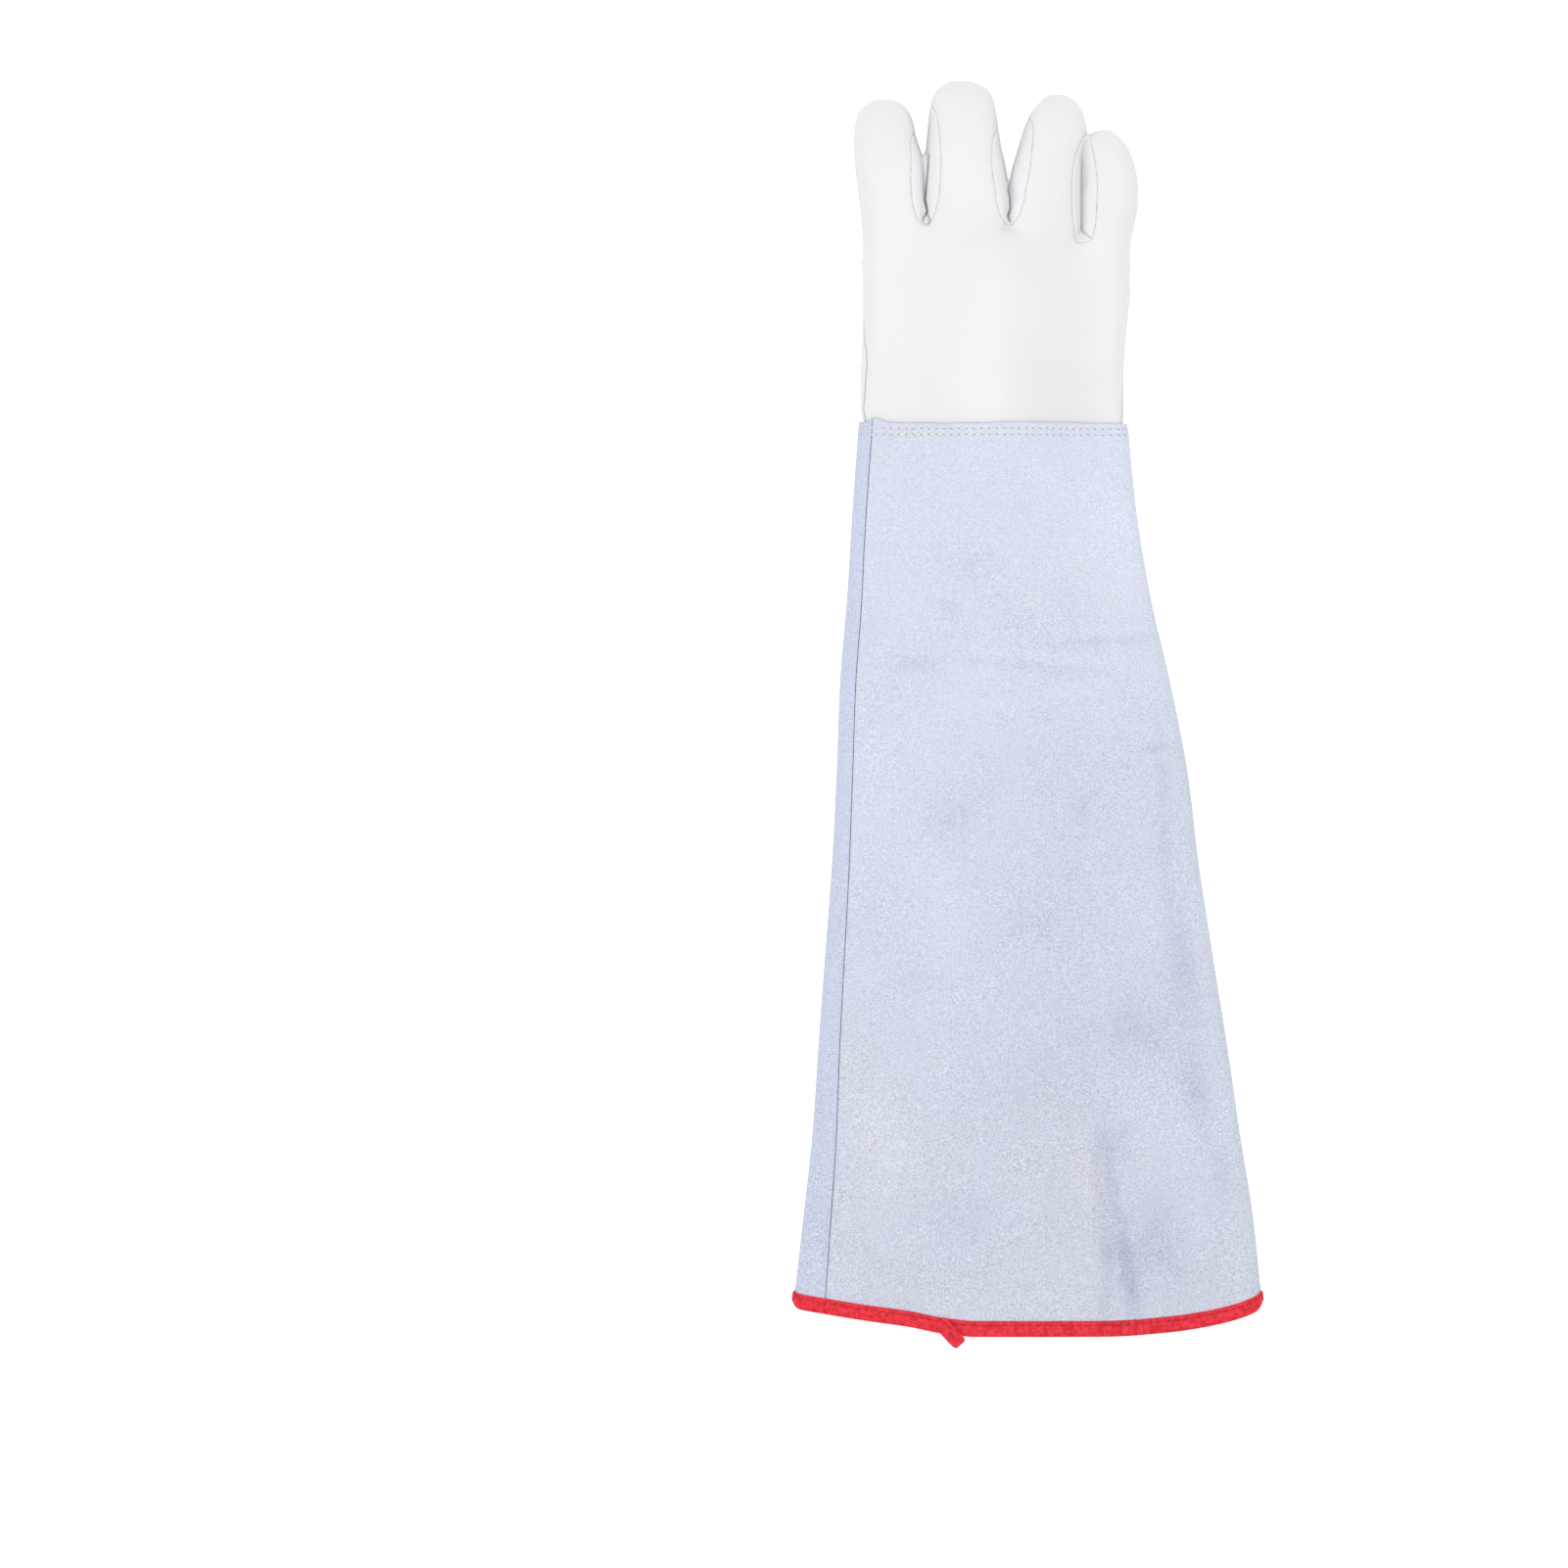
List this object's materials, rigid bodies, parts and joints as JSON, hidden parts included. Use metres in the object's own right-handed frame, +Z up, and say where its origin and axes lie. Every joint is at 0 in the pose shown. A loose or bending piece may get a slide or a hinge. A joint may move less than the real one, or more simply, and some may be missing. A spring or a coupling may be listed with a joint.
{
  "type": "cryogenic glove",
  "caption": "Long insulated right-hand leather glove for cryogenic liquids, with a flared suede gauntlet bound at the mouth, lying on its palm with the thumb folded under.",
  "frame": {"origin": "centre of the glove's bounding box at floor level", "axes": "+X towards the little finger's side, +Y from the mouth towards the fingertips, +Z up from the surface the glove's palm lies on"},
  "size_m": [0.2556, 0.6856, 0.0376],
  "materials": {
    "white_leather": "smooth, semi-matte full-grain leather, off-white",
    "blue_suede": "napped split leather, pale lavender blue, mottled",
    "red_tape": "woven binding tape, bright red, matte"
  },
  "bodies": {
    "root": {"hand_back": "white_leather", "hand_palm": "white_leather", "index_middle_strip": "white_leather", "middle_ring_strip": "white_leather", "ring_little_strip": "white_leather", "thumb": "white_leather", "gauntlet_back": "blue_suede", "gauntlet_palm": "blue_suede", "hem_binding": "red_tape", "binding_tail": "red_tape"}
  },
  "joints": []
}
